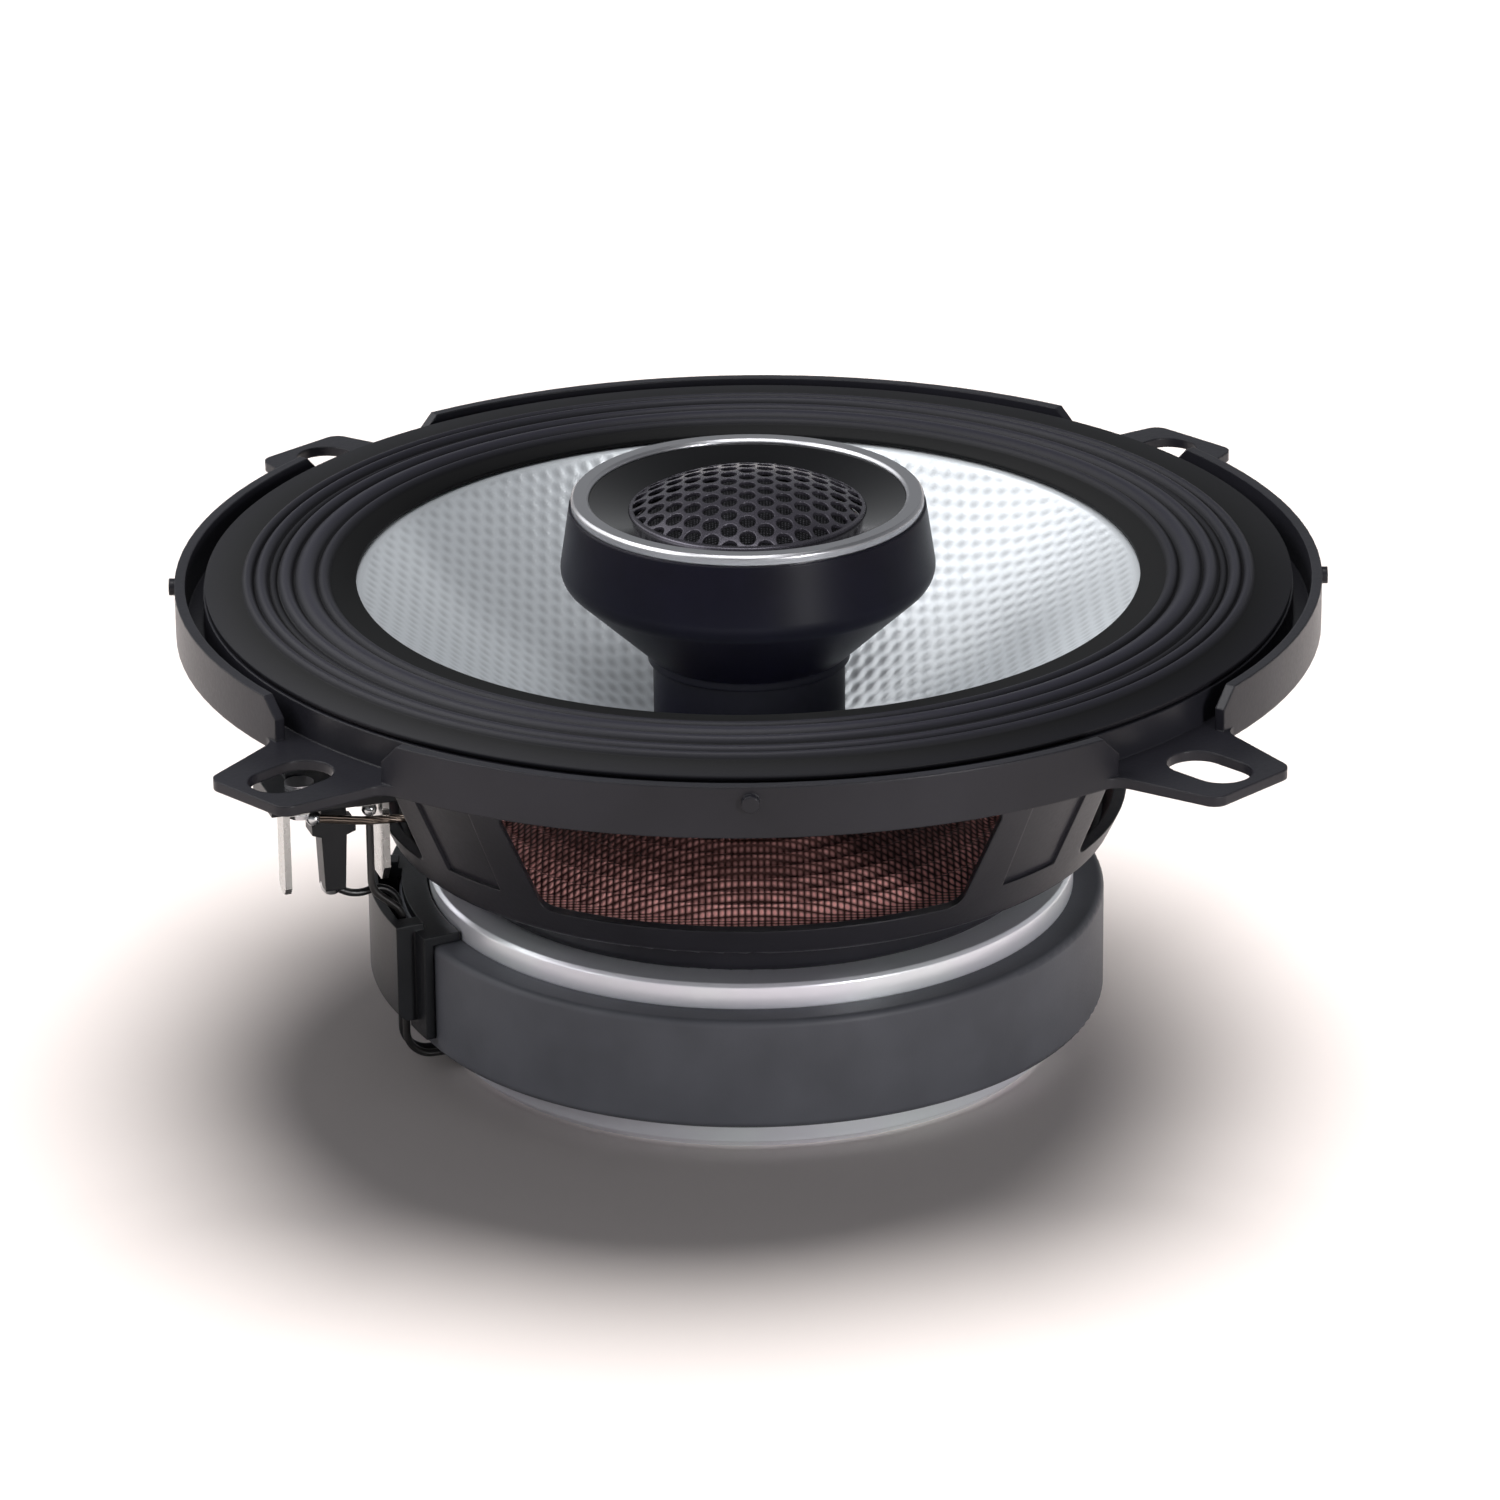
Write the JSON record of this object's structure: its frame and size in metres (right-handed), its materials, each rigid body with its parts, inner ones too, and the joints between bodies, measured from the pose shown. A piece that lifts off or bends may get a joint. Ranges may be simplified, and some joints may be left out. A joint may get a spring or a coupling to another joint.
{
  "type": "coaxial car speaker",
  "caption": "Round coaxial car speaker: woven cone woofer with a rubber surround and a dome tweeter on a central post, in a stamped basket with slotted mounting ears.",
  "frame": {"origin": "centre of the back plate's rear face, the lowest point of the speaker when it lies on its magnet", "axes": "+Z out of the front of the speaker, the way it plays; +X and +Y through two neighbouring mounting ears"},
  "size_m": [0.1562, 0.1562, 0.0683],
  "materials": {
    "basket_paint": "satin charcoal paint",
    "surround_rubber": "satin rubber",
    "spider_cloth": "resin-dipped reddish-brown weave",
    "zinc_steel": "bright zinc plating",
    "ferrite": "smooth slate-grey ferrite",
    "rivet_metal": "satin",
    "black_moulding": "moulded black",
    "tinned_metal": "bright tin plating",
    "solder": "bright solder",
    "housing_plastic": "satin blue-black",
    "trim_aluminium": "turned, bright edges",
    "waveguide_plastic": "gloss black",
    "grille_metal": "satin dark paint",
    "nickel_magnet": "nickel plating",
    "dome_cloth": "coated silk",
    "coil_wire": "enamelled copper wire",
    "capacitor_sleeve": "gloss sleeve with no print",
    "lead_sleeve_grey": "satin sleeve, dark grey",
    "lead_sleeve_black": "satin sleeve",
    "tinsel_braid": "braided copper tinsel",
    "cone_weave": "silver coated woven glass fibre",
    "former_film": "amber film"
  },
  "bodies": {
    "frame": {"basket": "basket_paint", "surround": "surround_rubber", "spider": "spider_cloth", "top_plate": "zinc_steel", "ferrite_magnet": "ferrite", "back_plate_pole": "zinc_steel", "basket_rivets": "rivet_metal", "lead_cover": "black_moulding", "terminal_board": "black_moulding", "terminal_blade_positive": "tinned_metal", "terminal_blade_negative": "tinned_metal", "terminal_rivets": "rivet_metal", "solder_joints": "solder", "tweeter_post": "housing_plastic", "tweeter_housing": "housing_plastic", "tweeter_trim_ring": "trim_aluminium", "tweeter_waveguide": "waveguide_plastic", "tweeter_grille": "grille_metal", "tweeter_yoke": "zinc_steel", "tweeter_magnet": "nickel_magnet", "tweeter_pole_plate": "zinc_steel", "tweeter_surround": "dome_cloth", "crossover_capacitor": "capacitor_sleeve", "tweeter_lead_positive": "lead_sleeve_grey", "tweeter_lead_negative": "lead_sleeve_black", "capacitor_lead": "lead_sleeve_grey", "tinsel_lead_positive": "tinsel_braid", "tinsel_lead_negative": "tinsel_braid"},
    "cone_assembly": {"cone": "cone_weave", "voice_coil_former": "former_film", "voice_coil_winding": "coil_wire"},
    "tweeter_diaphragm": {"tweeter_dome": "dome_cloth", "tweeter_voice_coil": "coil_wire"}
  },
  "joints": [
    {"name": "woofer_travel", "type": "slide", "parent": "frame", "child": "cone_assembly", "axis": [0, 0, 1], "range_m": [-0.004, 0.004], "stiffness_N_per_m": 1200, "deforming": ["surround", "spider", "tinsel_lead_positive", "tinsel_lead_negative"]},
    {"name": "tweeter_travel", "type": "slide", "parent": "frame", "child": "tweeter_diaphragm", "axis": [0, 0, 1], "range_m": [-0.0003, 0.0003], "stiffness_N_per_m": 600, "deforming": ["tweeter_surround"]}
  ]
}
